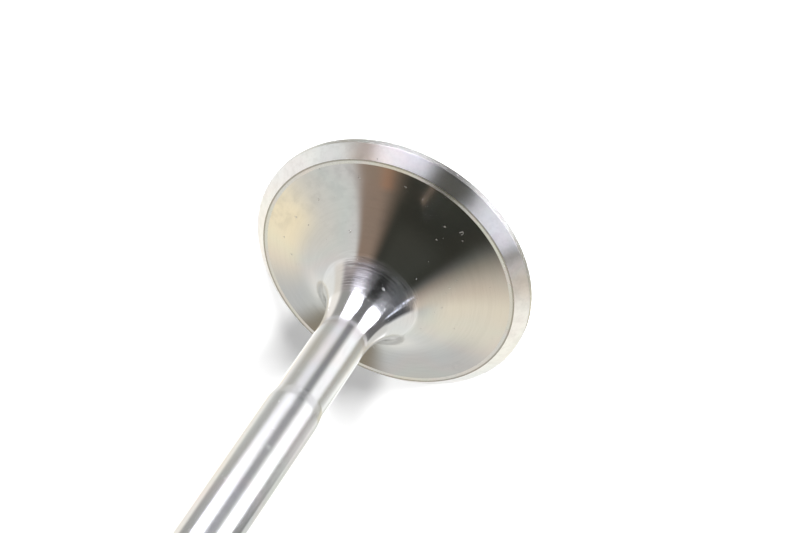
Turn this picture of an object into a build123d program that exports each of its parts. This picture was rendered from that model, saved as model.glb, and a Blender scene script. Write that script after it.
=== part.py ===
from build123d import *
import os
from math import cos, radians, sin, tan

# Poppet valve of a piston engine, forged and turned as one piece of valve steel.
# Millimetres. The origin is the centre of the combustion face and +Z runs up the stem.

# Head
head_diameter = 37.0
margin_height = 1.0          # cylindrical rim between the combustion face and the seat
margin_edge_radius = 0.3     # rounded edge where the margin meets the combustion face
seat_angle = 45.0            # of the ground seat face, from the plane of the head
seat_width = 2.1             # along the ground seat face
land_width = 0.6             # narrow flat ring inside the seat
back_angle = 12.0            # slope of the back of the head, from the plane of the head

# Neck and waist
neck_radius = 13.9           # sweep that carries the back of the head into the stem
waist_diameter = 6.4         # relieved stretch of the stem that stands in the port
waist_end_height = 29.5      # above the combustion face
step_angle = 30.0            # taper from the waist to the stem, from the axis

# Stem
stem_diameter = 6.97         # runs in a 7 mm guide
overall_length = 105.0
groove_radius = 1.1          # round-bottomed groove that takes the keepers
groove_depth = 0.65
groove_to_tip = 6.0          # middle of the groove to the end of the stem
tip_chamfer = 0.6            # across the end face
tip_chamfer_angle = 45.0     # from the end face

# Radii
head_radius = head_diameter / 2
waist_radius = waist_diameter / 2
stem_radius = stem_diameter / 2
seat_inner_radius = head_radius - seat_width * cos(radians(seat_angle))
back_outer_radius = seat_inner_radius - land_width
tip_radius = stem_radius - tip_chamfer
groove_centre_radius = stem_radius - groove_depth + groove_radius

# Heights above the combustion face
land_height = margin_height + seat_width * sin(radians(seat_angle))
back_apex_height = land_height + (back_outer_radius - waist_radius) * tan(radians(back_angle))
step_end_height = waist_end_height + (stem_radius - waist_radius) / tan(radians(step_angle))
groove_height = overall_length - groove_to_tip
tip_chamfer_height = overall_length - tip_chamfer * tan(radians(tip_chamfer_angle))

with BuildPart() as valve:
    # Head, neck, waist and stem turned from one half section
    with BuildSketch(Plane.XZ) as half_section:
        with BuildLine():
            Polyline(
                (0, 0),
                (head_radius, 0),
                (head_radius, margin_height),
                (seat_inner_radius, land_height),
                (back_outer_radius, land_height),
                (waist_radius, back_apex_height),
                (waist_radius, waist_end_height),
                (stem_radius, step_end_height),
                (stem_radius, tip_chamfer_height),
                (tip_radius, overall_length),
                (0, overall_length),
                close=True,
            )
        make_face()
        # One long sweep joins the back of the head to the waist
        neck_corner = half_section.vertices().sort_by_distance((waist_radius, back_apex_height))[0]
        fillet(neck_corner, neck_radius)
        margin_corner = half_section.vertices().sort_by_distance((head_radius, 0))[0]
        fillet(margin_corner, margin_edge_radius)
    revolve(axis=Axis.Z)

    # Keeper groove near the end of the stem
    with BuildSketch(Plane.XZ):
        with Locations((groove_centre_radius, groove_height)):
            Circle(groove_radius)
    revolve(axis=Axis.Z, mode=Mode.SUBTRACT)

valve.part.label = "valve"

os.makedirs("parts", exist_ok=True)
export_step(valve.part, "parts/valve.step")

print("inner diameter of the seat:", round(2 * seat_inner_radius, 3))
print("height of the land:", round(land_height, 3))
print("full stem diameter starts at height:", round(step_end_height, 3))
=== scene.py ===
from math import radians, tau

import bpy
import numpy as np
from mathutils import Matrix, Vector


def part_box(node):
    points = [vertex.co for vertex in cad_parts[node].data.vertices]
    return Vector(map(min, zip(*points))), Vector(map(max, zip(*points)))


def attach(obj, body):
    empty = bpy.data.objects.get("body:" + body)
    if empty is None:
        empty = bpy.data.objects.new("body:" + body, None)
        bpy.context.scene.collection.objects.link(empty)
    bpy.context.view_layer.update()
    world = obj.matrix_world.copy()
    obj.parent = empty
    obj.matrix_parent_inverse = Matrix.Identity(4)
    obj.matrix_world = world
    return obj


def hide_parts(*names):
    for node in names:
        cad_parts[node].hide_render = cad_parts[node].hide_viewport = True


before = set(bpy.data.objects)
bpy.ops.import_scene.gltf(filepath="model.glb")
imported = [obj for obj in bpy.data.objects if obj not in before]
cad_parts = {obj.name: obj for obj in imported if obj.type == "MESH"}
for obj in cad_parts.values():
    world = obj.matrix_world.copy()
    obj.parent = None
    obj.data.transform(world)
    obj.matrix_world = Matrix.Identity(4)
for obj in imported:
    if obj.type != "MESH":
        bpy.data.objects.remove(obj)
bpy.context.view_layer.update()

valveLow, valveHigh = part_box("valve")
print("frame loaded, valve box", tuple(valveLow), tuple(valveHigh))

mm = 0.001


# Node helpers

def addNode(tree, kind, **settings):
    node = tree.nodes.new(kind)
    for name, value in settings.items():
        setattr(node, name, value)
    return node


def feed(tree, socket, value):
    # a socket is linked, anything else is set as the socket's own value
    if isinstance(value, bpy.types.NodeSocket):
        tree.links.new(value, socket)
    elif value is not None:
        socket.default_value = value


def maths(tree, operation, first, second=None, third=None, clamp=False):
    node = addNode(tree, "ShaderNodeMath", operation=operation, use_clamp=clamp)
    for socket, value in zip(node.inputs, (first, second, third)):
        feed(tree, socket, value)
    return node.outputs[0]


def vectorMaths(tree, operation, first, second=None):
    node = addNode(tree, "ShaderNodeVectorMath", operation=operation)
    feed(tree, node.inputs[0], first)
    feed(tree, node.inputs[1], second)
    return node.outputs[0]


def softStep(tree, value, low, high):
    # 0 below low, 1 above high, and a smooth rise between them
    node = addNode(tree, "ShaderNodeMapRange", interpolation_type="SMOOTHSTEP")
    feed(tree, node.inputs["Value"], value)
    feed(tree, node.inputs["From Min"], low)
    feed(tree, node.inputs["From Max"], high)
    return node.outputs["Result"]


def mixColour(tree, factor, first, second, blend="MIX"):
    # in colour mode the node's sockets are 0 for the factor, 6 and 7 for the colours, 2 for the result
    node = addNode(tree, "ShaderNodeMix", data_type="RGBA", blend_type=blend)
    feed(tree, node.inputs[0], factor)
    feed(tree, node.inputs[6], first)
    feed(tree, node.inputs[7], second)
    return node.outputs[2]


def colourRamp(tree, factor, stops):
    node = addNode(tree, "ShaderNodeValToRGB")
    ramp = node.color_ramp
    ramp.interpolation = "LINEAR"
    while len(ramp.elements) < len(stops):
        ramp.elements.new(1)
    for element, (place, colour) in zip(ramp.elements, sorted(stops)):
        element.position = place
        element.color = (*colour, 1)
    feed(tree, node.inputs["Fac"], factor)
    return node.outputs["Color"]


def newGroup(name, inputs, outputs):
    # a shader node group with named inputs and outputs, each with its kind
    group = bpy.data.node_groups.new(name, "ShaderNodeTree")
    for direction, sockets in (("INPUT", inputs), ("OUTPUT", outputs)):
        for label, kind in sockets.items():
            group.interface.new_socket(label, in_out=direction, socket_type="NodeSocket" + kind)
    return group, addNode(group, "NodeGroupInput"), addNode(group, "NodeGroupOutput")


def useGroup(tree, group, **inputs):
    node = addNode(tree, "ShaderNodeGroup", node_tree=group)
    for label, value in inputs.items():
        feed(tree, node.inputs[label], value)
    return node


# Camera: it looks down on the back of the head, rolled so that the stem points down and to the left

cameraSet = {
    "lens": 100.0,                       # mm
    "sensor": 36.0,                      # mm
    "clip": (0.01, 20.0),
    "distance": 278.88 * mm,             # from the aim point
    "elevation": radians(45.894),        # above the table
    "heading": radians(0.259),           # to the left of +Y
    "roll": radians(-145.906),
    "aim": (-0.879 * mm, -0.007 * mm, 0.0),
}


def makeCamera(size):
    data = bpy.data.cameras.new("mainCamera")
    data.lens = size["lens"]
    data.sensor_width = size["sensor"]
    data.clip_start, data.clip_end = size["clip"]
    camera = bpy.data.objects.new("mainCamera", data)
    bpy.context.collection.objects.link(camera)
    turn = (Matrix.Rotation(size["heading"], 4, "Z")
            @ Matrix.Rotation(radians(90) - size["elevation"], 4, "X")
            @ Matrix.Rotation(size["roll"], 4, "Z"))
    back = turn @ Vector((0, 0, size["distance"]))
    camera.matrix_world = Matrix.Translation(Vector(size["aim"]) + back) @ turn
    bpy.context.scene.camera = camera
    return camera


camera = makeCamera(cameraSet)
print("camera at", tuple(round(v, 4) for v in camera.matrix_world.translation))


# The valve as one fine turned surface, the same section as the part with its edges just broken

valveSet = {
    "headRadius": min(valveHigh.x, valveHigh.y, -valveLow.x, -valveLow.y),
    "length": valveHigh.z,
    "marginHeight": 1.0 * mm,
    "marginEdge": 0.3 * mm,
    "seatAngle": radians(45),
    "seatWidth": 2.1 * mm,
    "landWidth": 0.6 * mm,
    "backAngle": radians(12),
    "neckRadius": 13.9 * mm,
    "waistRadius": 3.2 * mm,
    "stepMiddle": 29.75 * mm,            # the blended step from the waist to the stem
    "stepAngle": radians(9.5),
    "stemRadius": 3.485 * mm,
    "grooveRadius": 1.1 * mm,
    "grooveDepth": 0.65 * mm,
    "grooveToTip": 6.0 * mm,
    "tipChamfer": 0.6 * mm,
    "edgeBreak": 0.05 * mm,              # edges that the wheel and the tool leave
    "stepEase": 1.7 * mm,
    "around": 448,                       # points round the axis
}


def valveOutline(size):
    # the half section as corners: radius, height, rounding of the corner, steps on it, and the finish of
    # the run after it
    s = size
    edge = s["edgeBreak"]
    seatInner = s["headRadius"] - s["seatWidth"] * np.cos(s["seatAngle"])
    landHeight = s["marginHeight"] + s["seatWidth"] * np.sin(s["seatAngle"])
    backOuter = seatInner - s["landWidth"]
    backApex = landHeight + (backOuter - s["waistRadius"]) * np.tan(s["backAngle"])
    stepHalf = (s["stemRadius"] - s["waistRadius"]) / np.tan(s["stepAngle"]) / 2
    grooveHeight = s["length"] - s["grooveToTip"]
    grooveCentre = s["stemRadius"] - s["grooveDepth"] + s["grooveRadius"]
    grooveHalf = np.sqrt(s["grooveRadius"] ** 2 - (grooveCentre - s["stemRadius"]) ** 2)
    # the tangents at the two lips of the groove meet at this radius
    grooveApex = grooveCentre - s["grooveRadius"] ** 2 / (grooveCentre - s["stemRadius"])
    return [
        (0.0, 0.0, 0.0, 1, "face"),
        (s["headRadius"], 0.0, s["marginEdge"], 8, "rim"),
        (s["headRadius"], s["marginHeight"], edge, 4, "seat"),
        (seatInner, landHeight, edge, 4, "land"),
        (backOuter, landHeight, edge, 4, "body"),
        (s["waistRadius"], backApex, s["neckRadius"], 96, "body"),
        (s["waistRadius"], s["stepMiddle"] - stepHalf, s["stepEase"], 8, "body"),
        (s["stemRadius"], s["stepMiddle"] + stepHalf, s["stepEase"], 8, "body"),
        (s["stemRadius"], grooveHeight - grooveHalf, edge, 4, "body"),
        (grooveApex, grooveHeight, s["grooveRadius"] - 2 * edge, 24, "body"),
        (s["stemRadius"], grooveHeight + grooveHalf, edge, 4, "body"),
        (s["stemRadius"], s["length"] - s["tipChamfer"], edge, 4, "tip"),
        (s["stemRadius"] - s["tipChamfer"], s["length"], edge, 4, "tip"),
        (0.0, s["length"], 0.0, 1, "tip"),
    ]


def roundedSection(outline):
    # each corner becomes an arc: the heading turns evenly from the run before it to the run after it,
    # and a point is the arc's centre plus the rounding times the normal of that heading
    corners = np.array([row[:2] for row in outline])
    runs = np.diff(corners, axis=0)
    headings = np.arctan2(runs[:, 1], runs[:, 0])
    places, turns, finishes = [corners[:1]], [headings[:1]], [outline[0][4]]
    for i in range(1, len(outline) - 1):
        rounding, count, finish = outline[i][2:]
        turn = (headings[i] - headings[i - 1] + np.pi) % tau - np.pi
        heading = headings[i - 1] + turn * np.linspace(0, 1, count + 1)
        left = np.stack([-np.sin(heading), np.cos(heading)], axis=1)
        start = corners[i] - rounding * np.tan(abs(turn) / 2) * runs[i - 1] / np.linalg.norm(runs[i - 1])
        centre = start + np.sign(turn) * rounding * left[0]
        places.append(centre - np.sign(turn) * rounding * left)
        turns.append(heading)
        finishes += [finish] * (count + 1)
    places.append(corners[-1:])
    turns.append(headings[-1:])
    return np.concatenate(places), np.concatenate(turns), finishes


def turnedMesh(name, size, finishOrder):
    # at angle a the section's point (r, z) is (r cos a, r sin a, z), and where the section heads at angle h
    # the normal is (sin h cos a, sin h sin a, -cos h)
    section, heading, finishes = roundedSection(valveOutline(size))
    around = size["around"]
    angle = np.arange(around) / around * tau
    ring = section[1:-1]
    radius, height = ring[:, 0, None], ring[:, 1, None]
    grid = np.stack([radius * np.cos(angle), radius * np.sin(angle), height + 0 * angle], axis=2)
    points = np.concatenate([grid.reshape(-1, 3), [[0, 0, section[0, 1]], [0, 0, section[-1, 1]]]])
    row = np.arange(len(ring) - 1)[:, None] * around
    here, after = np.arange(around), (np.arange(around) + 1) % around
    quads = np.stack([row + here, row + after, row + around + after, row + around + here], axis=2)
    bottom, top, lastRow = len(points) - 2, len(points) - 1, (len(ring) - 1) * around
    underside = np.stack([after, here, np.full(around, bottom)], axis=1)
    topside = np.stack([lastRow + here, lastRow + after, np.full(around, top)], axis=1)
    mesh = bpy.data.meshes.new(name)
    faces = quads.reshape(-1, 4).tolist() + underside.tolist() + topside.tolist()
    mesh.from_pydata(points.tolist(), [], faces)

    radial, axial = np.sin(heading[1:-1])[:, None], -np.cos(heading[1:-1])[:, None]
    normals = np.stack([radial * np.cos(angle), radial * np.sin(angle), axial + 0 * angle], axis=2)
    normals = np.concatenate([normals.reshape(-1, 3), [[0, 0, -1], [0, 0, 1]]])
    mesh.polygons.foreach_set("use_smooth", np.ones(len(mesh.polygons), bool))
    mesh.normals_split_custom_set_from_vertices(normals.tolist())

    # how far along the section each point lies, from the centre of the face
    steps = np.linalg.norm(np.diff(section, axis=0), axis=1)
    along = np.concatenate([[0], np.cumsum(steps)])
    alongPoints = np.concatenate([np.repeat(along[1:-1], around), along[[0, -1]]])
    stored = mesh.attributes.new("along", "FLOAT", "POINT")
    stored.data.foreach_set("value", alongPoints.astype(np.float32))

    finishIndex = np.array([finishOrder.index(name) for name in finishes[1:len(ring)]])
    indexes = np.concatenate([np.repeat(finishIndex, around), np.full(around, finishOrder.index("face")),
                              np.full(around, finishOrder.index("tip"))])
    mesh.polygons.foreach_set("material_index", indexes.astype(np.int32))
    mesh.update()
    return mesh


def measureSection(size):
    # how far along the section, in mm from the centre of the face, the land starts and the neck ends, and
    # where the middle of the step to the stem is
    section, _, finishes = roundedSection(valveOutline(size))
    along = np.concatenate([[0], np.cumsum(np.linalg.norm(np.diff(section, axis=0), axis=1))]) / mm
    landOuter = along[finishes.index("land")]
    neckEnd = along[np.flatnonzero(np.isclose(section[:, 0], size["waistRadius"]))[0]]
    stepMiddle = neckEnd + (size["stepMiddle"] - section[along == neckEnd][0, 1]) / mm
    return {"landOuter": float(landOuter), "neckEnd": float(neckEnd), "stepMiddle": float(stepMiddle),
            "neckRadius": size["neckRadius"] / mm}


places = measureSection(valveSet)
finishOrder = ["face", "rim", "seat", "land", "body", "tip"]
valve = bpy.data.objects.new("valveSurface", turnedMesh("valveSurface", valveSet, finishOrder))
bpy.context.collection.objects.link(valve)
print("valve surface has", len(valve.data.polygons), "faces")


# Finishes: every effect is a group, placed in each finish with its own values

def makeAxisGroup():
    # coordinates that run round the stem and, in mm, along the section, so that a pattern on them follows
    # the lathe's path
    group, ins, outs = newGroup("aroundTheAxis", {"Round": "Float", "Lines": "Float"},
                                {"Wrap": "Vector", "Along": "Float"})
    place = addNode(group, "ShaderNodeTexCoord").outputs["Object"]
    flat = vectorMaths(group, "NORMALIZE", vectorMaths(group, "MULTIPLY", place, (1, 1, 0)))
    ring = addNode(group, "ShaderNodeSeparateXYZ")
    feed(group, ring.inputs[0], flat)
    stored = addNode(group, "ShaderNodeAttribute", attribute_name="along").outputs["Fac"]
    along = maths(group, "MULTIPLY", stored, 1 / mm)
    wrap = addNode(group, "ShaderNodeCombineXYZ")
    feed(group, wrap.inputs[0], maths(group, "MULTIPLY", ring.outputs[0], ins.outputs["Round"]))
    feed(group, wrap.inputs[1], maths(group, "MULTIPLY", ring.outputs[1], ins.outputs["Round"]))
    feed(group, wrap.inputs[2], maths(group, "MULTIPLY", along, ins.outputs["Lines"]))
    feed(group, outs.inputs["Wrap"], wrap.outputs[0])
    feed(group, outs.inputs["Along"], along)
    return group


markPattern = {
    "detail": 3.0, "roughness": 0.62,    # of the coarse noise
    "closerRound": 3.0, "closerLines": 4.0, "closerDetail": 1.0,
    "maskRange": (0.42, 0.62),           # of the noise, where a mark starts to show and is full
}


def makeMarksGroup(axisGroup, pattern):
    # lathe and grinding marks: noise drawn out into long arcs, coarse and fine together
    group, ins, outs = newGroup("toolMarks", {"Round": "Float", "Lines": "Float", "Fine": "Float"},
                                {"Height": "Float", "Mask": "Float"})
    coarse = useGroup(group, axisGroup, Round=ins.outputs["Round"], Lines=ins.outputs["Lines"])
    first = addNode(group, "ShaderNodeTexNoise", noise_dimensions="3D")
    feed(group, first.inputs["Vector"], coarse.outputs["Wrap"])
    feed(group, first.inputs["Scale"], 1.0)
    feed(group, first.inputs["Detail"], pattern["detail"])
    feed(group, first.inputs["Roughness"], pattern["roughness"])
    closer = useGroup(group, axisGroup,
                      Round=maths(group, "MULTIPLY", ins.outputs["Round"], pattern["closerRound"]),
                      Lines=maths(group, "MULTIPLY", ins.outputs["Lines"], pattern["closerLines"]))
    second = addNode(group, "ShaderNodeTexNoise", noise_dimensions="3D")
    feed(group, second.inputs["Vector"], closer.outputs["Wrap"])
    feed(group, second.inputs["Scale"], 1.0)
    feed(group, second.inputs["Detail"], pattern["closerDetail"])
    mixed = addNode(group, "ShaderNodeMix", data_type="FLOAT")
    feed(group, mixed.inputs[0], ins.outputs["Fine"])
    feed(group, mixed.inputs[2], first.outputs["Fac"])
    feed(group, mixed.inputs[3], second.outputs["Fac"])
    feed(group, outs.inputs["Height"], mixed.outputs[0])
    feed(group, outs.inputs["Mask"], softStep(group, mixed.outputs[0], *pattern["maskRange"]))
    return group


smudgePattern = {
    "broadDetail": 2.0, "closer": 7.0, "closeDetail": 4.0,
    "bare": 0.72, "coverReach": 0.4,     # noise where a blot starts, and how far full cover lowers it
    "edge": 0.16, "grain": (0.38, 0.66),
}


def makeSmudgeGroup(pattern):
    # finger marks and dried oil: soft blots with a finer edge inside them
    group, ins, outs = newGroup("smudges", {"Scale": "Float", "Cover": "Float"}, {"Mask": "Float"})
    place = addNode(group, "ShaderNodeTexCoord").outputs["Object"]
    broad = addNode(group, "ShaderNodeTexNoise")
    feed(group, broad.inputs["Vector"], place)
    feed(group, broad.inputs["Scale"], ins.outputs["Scale"])
    feed(group, broad.inputs["Detail"], pattern["broadDetail"])
    close = addNode(group, "ShaderNodeTexNoise")
    feed(group, close.inputs["Vector"], place)
    feed(group, close.inputs["Scale"], maths(group, "MULTIPLY", ins.outputs["Scale"], pattern["closer"]))
    feed(group, close.inputs["Detail"], pattern["closeDetail"])
    reach = maths(group, "MULTIPLY", ins.outputs["Cover"], pattern["coverReach"])
    low = maths(group, "SUBTRACT", pattern["bare"], reach)
    blot = softStep(group, broad.outputs["Fac"], low, maths(group, "ADD", low, pattern["edge"]))
    grain = softStep(group, close.outputs["Fac"], *pattern["grain"])
    feed(group, outs.inputs["Mask"], maths(group, "MULTIPLY", blot, grain))
    return group


speckPattern = {
    "warpScale": 1.7, "warpDetail": 1.0, "warpReach": 0.9,
    "leastSize": 0.4, "sizeSpread": 1.8,
    "lineWidth": 0.3, "lineCore": 0.3,   # of the ring's size, and of the width
    "broken": (0.42, 0.5),
}


def makeSpeckGroup(pattern):
    # dust and nicks: a few cells of a fine pattern hold a mark, a bent and broken ring of its own size
    group, ins, outs = newGroup("specks", {"Scale": "Float", "Share": "Float", "Size": "Float"},
                                {"Mask": "Float"})
    place = addNode(group, "ShaderNodeTexCoord").outputs["Object"]
    warp = addNode(group, "ShaderNodeTexNoise")
    feed(group, warp.inputs["Vector"], place)
    feed(group, warp.inputs["Scale"], maths(group, "MULTIPLY", ins.outputs["Scale"], pattern["warpScale"]))
    feed(group, warp.inputs["Detail"], pattern["warpDetail"])
    bent = addNode(group, "ShaderNodeVectorMath", operation="SCALE")
    feed(group, bent.inputs[0], vectorMaths(group, "SUBTRACT", warp.outputs["Color"], (0.5, 0.5, 0.5)))
    feed(group, bent.inputs["Scale"], maths(group, "DIVIDE", pattern["warpReach"], ins.outputs["Scale"]))
    cells = addNode(group, "ShaderNodeTexVoronoi", feature="F1")
    feed(group, cells.inputs["Vector"], vectorMaths(group, "ADD", place, bent.outputs[0]))
    feed(group, cells.inputs["Scale"], ins.outputs["Scale"])
    parts = addNode(group, "ShaderNodeSeparateColor")
    feed(group, parts.inputs[0], cells.outputs["Color"])
    chosen = maths(group, "LESS_THAN", parts.outputs[0], ins.outputs["Share"])
    random = maths(group, "MULTIPLY", parts.outputs[1], parts.outputs[1])
    spread = maths(group, "MULTIPLY_ADD", random, pattern["sizeSpread"], pattern["leastSize"])
    size = maths(group, "MULTIPLY", ins.outputs["Size"], spread)
    width = maths(group, "MULTIPLY", ins.outputs["Size"], pattern["lineWidth"])
    away = maths(group, "ABSOLUTE", maths(group, "SUBTRACT", cells.outputs["Distance"], size))
    ring = softStep(group, away, width, maths(group, "MULTIPLY", width, pattern["lineCore"]))
    broken = softStep(group, warp.outputs["Fac"], *pattern["broken"])
    mark = maths(group, "MULTIPLY", ring, broken)
    feed(group, outs.inputs["Mask"], maths(group, "MULTIPLY", chosen, mark))
    return group


tintPattern = {
    "seed": 3.7, "detail": 1.5,
    "tints": [                           # noise and the tint it gives
        (0.30, (1.0, 0.93, 0.8)),
        (0.40, (1.0, 0.96, 0.9)),
        (0.47, (0.95, 0.98, 0.95)),
        (0.54, (1.0, 0.93, 0.94)),
        (0.62, (0.93, 0.95, 1.0)),
        (0.72, (0.96, 0.98, 0.94)),
    ],
}


def makeTintGroup(pattern):
    # steel is never one colour: broad cream, rose and cool patches, each weak
    group, ins, outs = newGroup("steelTint", {"Color": "Color", "Scale": "Float", "Amount": "Float"},
                                {"Color": "Color"})
    place = addNode(group, "ShaderNodeTexCoord").outputs["Object"]
    patch = addNode(group, "ShaderNodeTexNoise", noise_dimensions="4D")
    feed(group, patch.inputs["Vector"], place)
    feed(group, patch.inputs["W"], pattern["seed"])
    feed(group, patch.inputs["Scale"], ins.outputs["Scale"])
    feed(group, patch.inputs["Detail"], pattern["detail"])
    tints = colourRamp(group, patch.outputs["Fac"], pattern["tints"])
    tinted = mixColour(group, 1.0, ins.outputs["Color"], tints, "MULTIPLY")
    feed(group, outs.inputs["Color"], mixColour(group, ins.outputs["Amount"], ins.outputs["Color"], tinted))
    return group


axisGroup = makeAxisGroup()
marksGroup = makeMarksGroup(axisGroup, markPattern)
smudgeGroup = makeSmudgeGroup(smudgePattern)
speckGroup = makeSpeckGroup(speckPattern)
tintGroup = makeTintGroup(tintPattern)


def newSteel(name, finish):
    # a bare metal shader whose gloss is drawn out across the tool marks
    material = bpy.data.materials.new(name)
    material.use_nodes = True
    tree = material.node_tree
    shader = tree.nodes["Principled BSDF"]
    shader.inputs["Metallic"].default_value = 1
    shader.inputs["Anisotropic"].default_value = finish["stretch"]
    shader.inputs["Anisotropic Rotation"].default_value = 0.25
    tangent = addNode(tree, "ShaderNodeTangent", direction_type="RADIAL", axis="Z")
    feed(tree, shader.inputs["Tangent"], tangent.outputs[0])
    return material, tree, shader


sharedFinish = {
    "markTone": (0.35, 0.35, 0.36, 1),   # what a mark and a smudge multiply the colour by
    "smudgeTone": (0.62, 0.64, 0.68, 1),
    "speckRough": 0.45,
}


def dressSteel(tree, shader, finish, colour, roughness, mask, height):
    # the part that all finishes share: tint, smudges, specks, marks in the gloss and in the surface
    smudge = useGroup(tree, smudgeGroup, Scale=finish["smudgeScale"],
                      Cover=finish["smudgeCover"]).outputs["Mask"]
    speck = useGroup(tree, speckGroup, Scale=finish["speckScale"], Share=finish["speckShare"],
                     Size=finish["speckSize"]).outputs["Mask"]
    tinted = useGroup(tree, tintGroup, Color=colour, Scale=finish["tintScale"],
                      Amount=finish["tintAmount"]).outputs["Color"]
    shaded = mixColour(tree, maths(tree, "MULTIPLY", mask, finish["markShade"]), tinted,
                       mixColour(tree, 1.0, tinted, sharedFinish["markTone"], "MULTIPLY"))
    dulled = mixColour(tree, maths(tree, "MULTIPLY", smudge, finish["smudgeShade"]), shaded,
                       mixColour(tree, 1.0, shaded, sharedFinish["smudgeTone"], "MULTIPLY"))
    speckled = mixColour(tree, maths(tree, "MULTIPLY", speck, finish["speckShade"]), dulled,
                         (*finish["speckColour"], 1))
    feed(tree, shader.inputs["Base Color"], speckled)
    rough = maths(tree, "MULTIPLY_ADD", smudge, finish["smudgeRough"], roughness)
    rough = maths(tree, "MULTIPLY_ADD", mask, finish["markRough"], rough)
    rough = maths(tree, "MULTIPLY_ADD", speck, sharedFinish["speckRough"], rough, clamp=True)
    feed(tree, shader.inputs["Roughness"], rough)
    bump = addNode(tree, "ShaderNodeBump")
    bump.inputs["Strength"].default_value = 1
    bump.inputs["Distance"].default_value = finish["markDepth"]
    feed(tree, bump.inputs["Height"], maths(tree, "MULTIPLY_ADD", speck, finish["speckHeight"], height))
    feed(tree, shader.inputs["Normal"], bump.outputs["Normal"])


# One dictionary for each finish. Colours are bare metal, depths in metres

bodyFinish = {
    "turned": (0.57, 0.565, 0.55, 1), "ground": (0.84, 0.84, 0.84, 1),
    "turnedRoughness": 0.1, "waistRoughness": 0.11, "stemRoughness": 0.15, "stretch": 0.4,
    "polishEnd": (42, 36),               # degrees of neck below the waist: the polish starts, is full
    # the streaks are lathe marks in the surface and, where they darken the colour, painted shade
    "streakBand": (42, 36, 25, 18),      # the same, where the lathe marks start, are full, fade and end
    "streakRound": 0.8, "streakLines": 5.0, "streakFine": 0.3, "streakDepth": 0.5, "streakShare": 0.9,
    # the streaks, marks and painted shade together, are kept mostly to the side towards the front
    "markedAndShadedSide": (-0.26, -0.42),          # Y on a ring of radius raggedRound: they start, are full
    "markedAndShadedShare": 0.95,                   # how much less of them the rest of the neck has
    "raggedRound": 0.6, "raggedLines": 1.2, "raggedScale": 1.5,
    "raggedReach": 2.0,                  # mm that the edge of the polish wanders
    "stepBlend": (-0.6, 0.4),            # mm round the step where the waist's gloss becomes the stem's
    "markRound": 1.6, "markLines": 1.8, "markFine": 0.35,
    "backDepth": 0.03, "stemDepth": 0.012, "backShare": 0.06, "stemShare": 0.03,
    "tintScale": 75.0, "tintAmount": 0.5,
    "smudgeScale": 110.0, "smudgeCover": 0.42, "smudgeShade": 0.25, "smudgeRough": 0.05,
    "speckScale": 1500.0, "speckShare": 0.04, "speckSize": 0.16, "speckShade": 0.5, "speckHeight": 0.8,
    "speckColour": (0.9, 0.9, 0.88), "markShade": 0.7, "markRough": 0.13, "markDepth": 0.00004,
}


def makeBodySteel(finish, places):
    # the back of the head is left as turned, and the polish of the stem runs out on the neck
    material, tree, shader = newSteel("bodySteel", finish)
    wrap = useGroup(tree, axisGroup, Round=finish["raggedRound"], Lines=finish["raggedLines"])
    along = wrap.outputs["Along"]
    ragged = addNode(tree, "ShaderNodeTexNoise")
    feed(tree, ragged.inputs["Vector"], wrap.outputs["Wrap"])
    feed(tree, ragged.inputs["Scale"], finish["raggedScale"])
    ragged = maths(tree, "SUBTRACT", ragged.outputs["Fac"], 0.5)
    drift = maths(tree, "MULTIPLY_ADD", ragged, finish["raggedReach"], along)
    neck = places["neckEnd"] - np.radians(finish["polishEnd"]) * places["neckRadius"]
    polish = softStep(tree, drift, float(neck[0]), float(neck[1]))
    stem = softStep(tree, along, places["stepMiddle"] + finish["stepBlend"][0],
                    places["stepMiddle"] + finish["stepBlend"][1])
    colour = mixColour(tree, polish, finish["turned"], finish["ground"])
    turned, waist = finish["turnedRoughness"], finish["waistRoughness"]
    roughness = maths(tree, "MULTIPLY_ADD", polish, waist - turned, turned)
    roughness = maths(tree, "MULTIPLY_ADD", stem, finish["stemRoughness"] - waist, roughness)
    band = places["neckEnd"] - np.radians(finish["streakBand"]) * places["neckRadius"]
    inBand = maths(tree, "MULTIPLY", softStep(tree, drift, float(band[0]), float(band[1])),
                   softStep(tree, drift, float(band[3]), float(band[2])))
    parts = addNode(tree, "ShaderNodeSeparateXYZ")
    feed(tree, parts.inputs[0], wrap.outputs["Wrap"])
    # the streak band, marks and their painted shade, is kept mostly to the side towards the front
    markedAndShaded = maths(tree, "MULTIPLY_ADD", softStep(tree, parts.outputs[1], *finish["markedAndShadedSide"]),
                 finish["markedAndShadedShare"], 1 - finish["markedAndShadedShare"])
    inBand = maths(tree, "MULTIPLY", inBand, markedAndShaded)       # the marks are deepest on one side of the neck
    marks = useGroup(tree, marksGroup, Round=finish["markRound"], Lines=finish["markLines"],
                     Fine=finish["markFine"])
    streaks = useGroup(tree, marksGroup, Round=finish["streakRound"], Lines=finish["streakLines"],
                       Fine=finish["streakFine"])
    rise = finish["stemShare"] - finish["backShare"]
    share = maths(tree, "MULTIPLY_ADD", polish, rise, finish["backShare"])
    mask = maths(tree, "MULTIPLY", marks.outputs["Mask"], share)
    # in the streaks the mask darkens the colour: painted shade standing in for the dark stripes that the
    # lathe grooves mirror, on top of the real marks in the surface
    mask = maths(tree, "MULTIPLY_ADD", maths(tree, "MULTIPLY", streaks.outputs["Mask"], inBand),
                 finish["streakShare"], mask, clamp=True)
    rise = finish["stemDepth"] - finish["backDepth"]
    depth = maths(tree, "MULTIPLY_ADD", polish, rise, finish["backDepth"])
    height = maths(tree, "MULTIPLY", maths(tree, "SUBTRACT", marks.outputs["Height"], 0.5), depth)
    deep = maths(tree, "MULTIPLY", inBand, finish["streakDepth"])
    streak = maths(tree, "SUBTRACT", streaks.outputs["Height"], 0.5)
    height = maths(tree, "MULTIPLY_ADD", streak, deep, height)
    dressSteel(tree, shader, finish, colour, roughness, mask, height)
    return material


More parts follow.
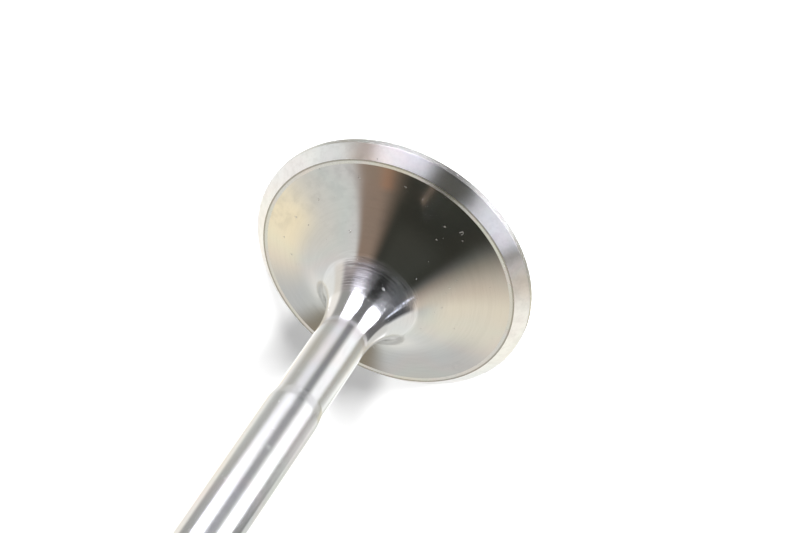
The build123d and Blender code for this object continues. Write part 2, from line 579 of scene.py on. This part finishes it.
plainFinishes = {
    "face": {
        "colour": (0.6, 0.59, 0.57, 1), "roughness": 0.26, "stretch": 0.5,
        "round": 1.2, "lines": 2.2, "fine": 0.4,
        "tintScale": 90.0, "tintAmount": 0.5, "smudgeScale": 120.0, "smudgeCover": 0.4, "smudgeShade": 0.3,
        "smudgeRough": 0.08, "speckScale": 900.0, "speckShare": 0.05, "speckSize": 0.16, "speckShade": 0.4,
        "speckHeight": -0.5, "speckColour": (0.3, 0.3, 0.29), "markShade": 0.14, "markRough": 0.06,
        "markDepth": 0.000006,
    },
    "rim": {
        "colour": (0.72, 0.72, 0.7, 1), "roughness": 0.2, "stretch": 0.0,
        "round": 8.0, "lines": 4.0, "fine": 0.4,
        "tintScale": 90.0, "tintAmount": 0.4, "smudgeScale": 200.0, "smudgeCover": 0.3, "smudgeShade": 0.2,
        "smudgeRough": 0.05, "speckScale": 900.0, "speckShare": 0.04, "speckSize": 0.14, "speckShade": 0.4,
        "speckHeight": -0.3, "speckColour": (0.5, 0.5, 0.49), "markShade": 0.07, "markRough": 0.06,
        "markDepth": 0.000002,
    },
    "seat": {
        "colour": (0.97, 0.97, 0.98, 1), "roughness": 0.35, "stretch": 1.0,
        "round": 14.0, "lines": 0.7, "fine": 0.3,
        "tintScale": 130.0, "tintAmount": 0.3, "smudgeScale": 260.0, "smudgeCover": 0.3, "smudgeShade": 0.15,
        "smudgeRough": 0.03, "speckScale": 900.0, "speckShare": 0.04, "speckSize": 0.14, "speckShade": 0.5,
        "speckHeight": -0.3, "speckColour": (0.45, 0.46, 0.42), "markShade": 0.1, "markRough": 0.03,
        "markDepth": 0.0000012,
    },
    "land": {
        "colour": (0.76, 0.76, 0.74, 1), "roughness": 0.24, "stretch": 0.3,
        "round": 60.0, "lines": 3.0, "fine": 0.5,
        "tintScale": 150.0, "tintAmount": 0.7, "smudgeScale": 260.0, "smudgeCover": 0.3, "smudgeShade": 0.2,
        "smudgeRough": 0.05, "speckScale": 900.0, "speckShare": 0.03, "speckSize": 0.14, "speckShade": 0.5,
        "speckHeight": -0.3, "speckColour": (0.3, 0.3, 0.27), "markShade": 0.1, "markRough": 0.04,
        "markDepth": 0.000002,
        # the land's dark line is painted shade: it stands in for the dark that the edge beside the seat
        # mirrors
        "paintedShadeLine": (0.12, 0.3),         # mm inside the seat: full, then gone
        "paintedShadeStrength": 0.75, "paintedShadeColour": (0.3, 0.28, 0.24, 1),
    },
    "tip": {
        "colour": (0.8, 0.8, 0.8, 1), "roughness": 0.24, "stretch": 0.2,
        "round": 2.0, "lines": 2.0, "fine": 0.4,
        "tintScale": 90.0, "tintAmount": 0.4, "smudgeScale": 200.0, "smudgeCover": 0.4, "smudgeShade": 0.25,
        "smudgeRough": 0.06, "speckScale": 900.0, "speckShare": 0.05, "speckSize": 0.14, "speckShade": 0.4,
        "speckHeight": -0.3, "speckColour": (0.4, 0.4, 0.4), "markShade": 0.07, "markRough": 0.05,
        "markDepth": 0.000003,
    },
}


def makePlainSteel(name, finish, places):
    # a run of one finish, and on the land a painted line of shade beside the seat, darkening the colour
    # where the edge looks dark
    material, tree, shader = newSteel(name + "Steel", finish)
    marks = useGroup(tree, marksGroup, Round=finish["round"], Lines=finish["lines"], Fine=finish["fine"])
    colour = finish["colour"]
    if name == "land":
        along = useGroup(tree, axisGroup, Round=1.0, Lines=1.0).outputs["Along"]
        line = softStep(tree, along, places["landOuter"] + finish["paintedShadeLine"][1],
                        places["landOuter"] + finish["paintedShadeLine"][0])
        # painted shade: the colour is darkened in a thin line along the land's edge
        paintedEdgeShade = maths(tree, "MULTIPLY", line, finish["paintedShadeStrength"])
        colour = mixColour(tree, paintedEdgeShade, colour, finish["paintedShadeColour"])
    height = maths(tree, "SUBTRACT", marks.outputs["Height"], 0.5)
    dressSteel(tree, shader, finish, colour, finish["roughness"], marks.outputs["Mask"], height)
    return material


steels = {name: makePlainSteel(name, finish, places) for name, finish in plainFinishes.items()}
steels["body"] = makeBodySteel(bodyFinish, places)
for finish in finishOrder:
    valve.data.materials.append(steels[finish])
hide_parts("valve")
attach(valve, "root")
print("steels made:", ", ".join(sorted(steels)))


# Studio: walls, windows and dark flags stand round the valve, and only gloss sees them. Each is placed by
# the slope of steel that mirrors it towards the front: "bearing" runs round the stem from the front and
# "tilt" is the slope's angle from the axis, both from and to, in degrees. "edge" and "fade" say how soft the
# ends of the two are. A level gives its cards their tilt and fade, unless a card has its own, and a later
# card stands before an earlier one

studioSet = {
    "facing": (0.0, -0.701, 0.713),      # from the valve to the front, fixed in the world
    "walls": (0.86, 0.87, 0.85),
    "levels": [
        {
            # what the turned back mirrors
            "tilt": (-20, 53), "fade": (1, 2),
            "cards": [
                {"bearing": (-112, -70), "edge": (16, 12), "colour": (1.08, 1.1, 1.02),
                 "tilt": (24, 53), "fade": (8, 2)},
                {"bearing": (-96, -40), "edge": (12, 6), "colour": (1.22, 1.15, 1.0),
                 "tilt": (-20, 42), "fade": (1, 8)},
                {"bearing": (-62, -38), "edge": (7, 5), "colour": (0.98, 0.88, 0.76)},
                {"bearing": (56, 116), "edge": (10, 20), "colour": (1.03, 1.03, 1.0)},
                {"bearing": (79, 124), "edge": (11, 20), "colour": (1.46, 1.32, 1.01),
                 "tilt": (-20, 26), "fade": (1, 9)},
                {"bearing": (41, 62), "edge": (4, 10), "colour": (0.99, 1.02, 1.0)},
                {"bearing": (156, 204), "edge": (7, 7), "colour": (0.4, 0.36, 0.28),
                 "tilt": (-20, 50), "fade": (1, 8)},
                {"bearing": (112, 148), "edge": (14, 8), "colour": (1.1, 1.09, 1.04),
                 "tilt": (30, 53), "fade": (8, 2)},
                {"bearing": (-148, -112), "edge": (8, 14), "colour": (1.1, 1.09, 1.04),
                 "tilt": (30, 53), "fade": (8, 2)},
                {"bearing": (13, 42), "edge": (6, 4), "colour": (0.42, 0.32, 0.25)},
                {"bearing": (24, 28), "edge": (4, 4), "colour": (0.74, 0.36, 0.2),
                 "tilt": (10, 15), "fade": (1, 3)},
                {"bearing": (-44, 22), "edge": (16, 8), "colour": (0.05, 0.052, 0.042)},
                {"bearing": (-28, 14), "edge": (12, 10), "colour": (0.075, 0.078, 0.065),
                 "tilt": (30, 53), "fade": (8, 2)},
            ],
        },
        {
            # what the curve of the neck mirrors
            "tilt": (53, 180), "fade": (2, 1),
            "cards": [
                {"bearing": (73, 112), "edge": (6, 10), "colour": (0.9, 0.89, 0.85)},
                {"bearing": (-112, -64), "edge": (10, 4), "colour": (0.85, 0.85, 0.8)},
                {"bearing": (57, 75), "edge": (5, 5), "colour": (0.81, 0.76, 0.68),
                 "fade": (2, 2)},
                {"bearing": (34, 58), "edge": (5, 5), "colour": (0.4, 0.36, 0.35)},
                {"bearing": (6, 38), "edge": (3, 5), "colour": (0.15, 0.14, 0.145),
                 "tilt": (52, 180)},
                {"bearing": (18, 38), "edge": (6, 6), "colour": (1.0, 0.95, 1.04),
                 "tilt": (58, 180), "fade": (5, 1)},
                {"bearing": (-61, -9), "edge": (4, 4), "colour": (0.08, 0.083, 0.088)},
                {"bearing": (-45, -9), "edge": (4, 4), "colour": (0.19, 0.19, 0.2),
                 "tilt": (60, 180), "fade": (4, 1)},
                {"bearing": (-12, 8), "edge": (5, 4), "colour": (0.03, 0.03, 0.03)},
                {"bearing": (-48.5, -46.5), "edge": (1, 1), "colour": (2.3, 2.4, 2.7),
                 "tilt": (60, 68), "fade": (2, 1.5)},
                {"bearing": (-45, -43), "edge": (1, 1), "colour": (1.8, 1.9, 2.2),
                 "tilt": (53, 59.5), "fade": (2, 2)},
            ],
        },
        {
            # what the start of the neck mirrors: two windows, brightest in their middle, and a dark gap
            "tilt": (69, 180), "fade": (1, 1),
            "cards": [
                {"bearing": (80, 114), "edge": (9, 10), "colour": (1.6, 1.55, 1.5)},
                {"bearing": (54, 80), "edge": (7, 9), "colour": (1.02, 0.97, 0.89)},
                {"bearing": (-114, -80), "edge": (10, 9), "colour": (1.5, 1.5, 1.5)},
                {"bearing": (-80, -57), "edge": (9, 4), "colour": (0.74, 0.75, 0.71)},
                {"bearing": (-58, -36), "edge": (4, 2), "colour": (0.17, 0.17, 0.17)},
                {"bearing": (34, 55), "edge": (2, 7), "colour": (0.36, 0.355, 0.33)},
                {"bearing": (-11, 9), "edge": (2, 2), "colour": (0.2, 0.2, 0.2)},
                {"bearing": (-35, -11.5), "edge": (2.5, 2.5), "colour": (3.1, 3.1, 3.25),
                 "tilt": (71.5, 180), "fade": (2, 1)},
                {"bearing": (9, 33), "edge": (2.5, 2.5), "colour": (2.9, 2.86, 3.05),
                 "tilt": (70.5, 180), "fade": (3, 1)},
                {"bearing": (-37, -14), "edge": (1.5, 6), "colour": (24, 24, 26.5),
                 "tilt": (74, 79), "fade": (1, 2)},
                {"bearing": (8.5, 31), "edge": (3, 4), "colour": (22, 21.9, 24.2),
                 "tilt": (74, 79), "fade": (1, 2)},
            ],
        },
        {
            # what the stem mirrors
            "tilt": (85.5, 180), "fade": (0.6, 1),
            "cards": [
                {"bearing": (-112, 112), "edge": (12, 12), "colour": (1.2, 1.2, 1.2)},
                {"bearing": (-50, 62), "edge": (15, 20), "colour": (0.52, 0.52, 0.52)},
                {"bearing": (-33.5, -8.5), "edge": (7, 7), "colour": (1.17, 1.17, 1.18)},
                {"bearing": (12.5, 30), "edge": (8, 9), "colour": (1.12, 1.11, 1.17)},
                {"bearing": (-5, 6), "edge": (6, 7), "colour": (0.57, 0.565, 0.61)},
            ],
        },
        {
            # what the waist mirrors
            "tilt": (87.7, 180), "fade": (0.7, 1),
            "cards": [
                {"bearing": (-112, 112), "edge": (12, 12), "colour": (0.4, 0.38, 0.32)},
                {"bearing": (54, 80), "edge": (13, 12), "colour": (0.94, 0.94, 0.93)},
                {"bearing": (-74, -57), "edge": (10, 14), "colour": (0.87, 0.83, 0.69)},
                {"bearing": (-53, 48), "edge": (10, 12), "colour": (0.56, 0.56, 0.54)},
                {"bearing": (-51, -30), "edge": (9, 6), "colour": (0.5, 0.48, 0.43)},
                {"bearing": (-33, -10), "edge": (6, 6), "colour": (1.13, 1.13, 1.16)},
                {"bearing": (10, 28), "edge": (6, 8), "colour": (0.86, 0.85, 0.9)},
                {"bearing": (-6, 7), "edge": (4, 5), "colour": (0.26, 0.26, 0.28)},
            ],
        },
        {
            # what steel that leans over mirrors, such as the step on the stem
            "tilt": (97, 180), "fade": (1.5, 1),
            "cards": [
                {"bearing": (-70, 70), "edge": (10, 10), "colour": (0.84, 0.84, 0.86)},
                {"bearing": (-7, 8), "edge": (6, 6), "colour": (0.5, 0.5, 0.52)},
            ],
        },
        {
            # what level steel mirrors, such as the land
            "tilt": (-20, 6), "fade": (1, 2),
            "cards": [
                {"bearing": (-180, 180), "edge": (0.01, 0.01), "colour": (0.9, 0.88, 0.81)},
            ],
        },
    ],
    "background": (1.0, 1.0, 1.0),
    "fill": (0.03, 0.03, 0.03),          # what the sky gives to the floor
}


def makeCardGroup():
    # one card over what stands behind it: its mask is a soft step at each of its four sides
    inputs = {"Under": "Color", "Color": "Color"}
    for label in ("Bearing", "Middle", "Half", "FirstEdge", "LastEdge", "Tilt", "Low", "High", "LowFade",
                  "HighFade"):
        inputs[label] = "Float"
    group, ins, outs = newGroup("studioCard", inputs, {"Color": "Color"})
    given = ins.outputs
    offset = maths(group, "SUBTRACT", given["Bearing"], given["Middle"])
    offset = maths(group, "WRAP", offset, 180.0, -180.0)
    first = maths(group, "ADD", offset, given["Half"])
    last = maths(group, "SUBTRACT", given["Half"], offset)
    low = maths(group, "SUBTRACT", given["Tilt"], given["Low"])
    high = maths(group, "SUBTRACT", given["High"], given["Tilt"])
    mask = 1.0
    sides = ((first, "FirstEdge"), (last, "LastEdge"), (low, "LowFade"), (high, "HighFade"))
    for distance, softness in sides:
        step = softStep(group, distance, maths(group, "MULTIPLY", given[softness], -1.0), given[softness])
        mask = maths(group, "MULTIPLY", mask, step)
    feed(group, outs.inputs["Color"], mixColour(group, mask, given["Under"], given["Color"]))
    return group


def makeStudio(size):
    world = bpy.data.worlds.new("studio")
    world.use_nodes = True
    bpy.context.scene.world = world
    tree = world.node_tree
    tree.nodes.clear()
    direction = addNode(tree, "ShaderNodeTexCoord").outputs["Generated"]
    slope = vectorMaths(tree, "NORMALIZE", vectorMaths(tree, "ADD", direction, size["facing"]))
    parts = addNode(tree, "ShaderNodeSeparateXYZ")
    feed(tree, parts.inputs[0], slope)
    towards = maths(tree, "MULTIPLY", parts.outputs["Y"], -1.0)
    bearing = maths(tree, "DEGREES", maths(tree, "ARCTAN2", parts.outputs["X"], towards))
    tilt = maths(tree, "DEGREES", maths(tree, "ARCCOSINE", parts.outputs["Z"]))
    cardGroup = makeCardGroup()
    seen = (*size["walls"], 1)
    cards = [{**level, **card} for level in size["levels"] for card in level["cards"]]
    for card in cards:
        (start, end), (low, high) = card["bearing"], card["tilt"]
        node = useGroup(tree, cardGroup, Under=seen, Bearing=bearing, Tilt=tilt, Color=(*card["colour"], 1),
                        Middle=(start + end) / 2, Half=(end - start) / 2, Low=low, High=high,
                        FirstEdge=card["edge"][0], LastEdge=card["edge"][1],
                        LowFade=card["fade"][0], HighFade=card["fade"][1])
        seen = node.outputs["Color"]
    path = addNode(tree, "ShaderNodeLightPath")
    plain = mixColour(tree, path.outputs["Is Camera Ray"], (*size["fill"], 1), (*size["background"], 1))
    glow = addNode(tree, "ShaderNodeBackground")
    feed(tree, glow.inputs["Color"], mixColour(tree, path.outputs["Is Glossy Ray"], plain, seen))
    output = addNode(tree, "ShaderNodeOutputWorld")
    tree.links.new(glow.outputs[0], output.inputs["Surface"])


makeStudio(studioSet)

floorSet = {"radius": 3.0, "colour": (0.9, 0.9, 0.9), "points": 64}


def makeFloor(size):
    angle = np.arange(size["points"]) / size["points"] * tau
    rim = np.stack([size["radius"] * np.cos(angle), size["radius"] * np.sin(angle), 0 * angle], axis=1)
    mesh = bpy.data.meshes.new("floor")
    mesh.from_pydata(rim.tolist(), [], [list(range(size["points"]))])
    floor = bpy.data.objects.new("floor", mesh)
    bpy.context.collection.objects.link(floor)
    material = bpy.data.materials.new("paleFloor")
    material.use_nodes = True
    shader = material.node_tree.nodes["Principled BSDF"]
    shader.inputs["Base Color"].default_value = (*size["colour"], 1)
    shader.inputs["Roughness"].default_value = 1
    shader.inputs["Specular IOR Level"].default_value = 0
    mesh.materials.append(material)
    floor.visible_glossy = False


makeFloor(floorSet)

# A low broad lamp and a pair of higher ones, each enough to whiten the floor: a shadow shows only where
# both the low one and one of the pair are kept off, close behind the head

lampSet = [
    {"name": "lowLamp", "brightness": 0.3, "elevation": 14.0, "heading": 0.0, "spread": 12.0},
    {"name": "lowLampLeft", "brightness": 0.35, "elevation": 9.0, "heading": 25.0, "spread": 14.0},
    {"name": "lowLampRight", "brightness": 0.35, "elevation": 9.0, "heading": -25.0, "spread": 14.0},
    {"name": "highLampLeft", "brightness": 0.47, "elevation": 50.0, "heading": 12.0, "spread": 6.0},
    {"name": "highLampRight", "brightness": 0.47, "elevation": 50.0, "heading": -12.0, "spread": 6.0},
]


def makeLamp(size):
    # a far lamp: its power is what gives a white floor the brightness asked for
    data = bpy.data.lights.new(size["name"], "SUN")
    data.angle = radians(size["spread"])
    data.energy = size["brightness"] * np.pi / np.sin(radians(size["elevation"]))
    lamp = bpy.data.objects.new(size["name"], data)
    bpy.context.collection.objects.link(lamp)
    turn = (Matrix.Rotation(radians(size["heading"]), 4, "Z")
            @ Matrix.Rotation(radians(90 - size["elevation"]), 4, "X"))
    lamp.matrix_world = Matrix.Translation(turn @ Vector((0, 0, 1))) @ turn
    lamp.visible_glossy = False


for lampSize in lampSet:
    makeLamp(lampSize)
bpy.context.scene.view_settings.view_transform = "Standard"
print("studio ready")
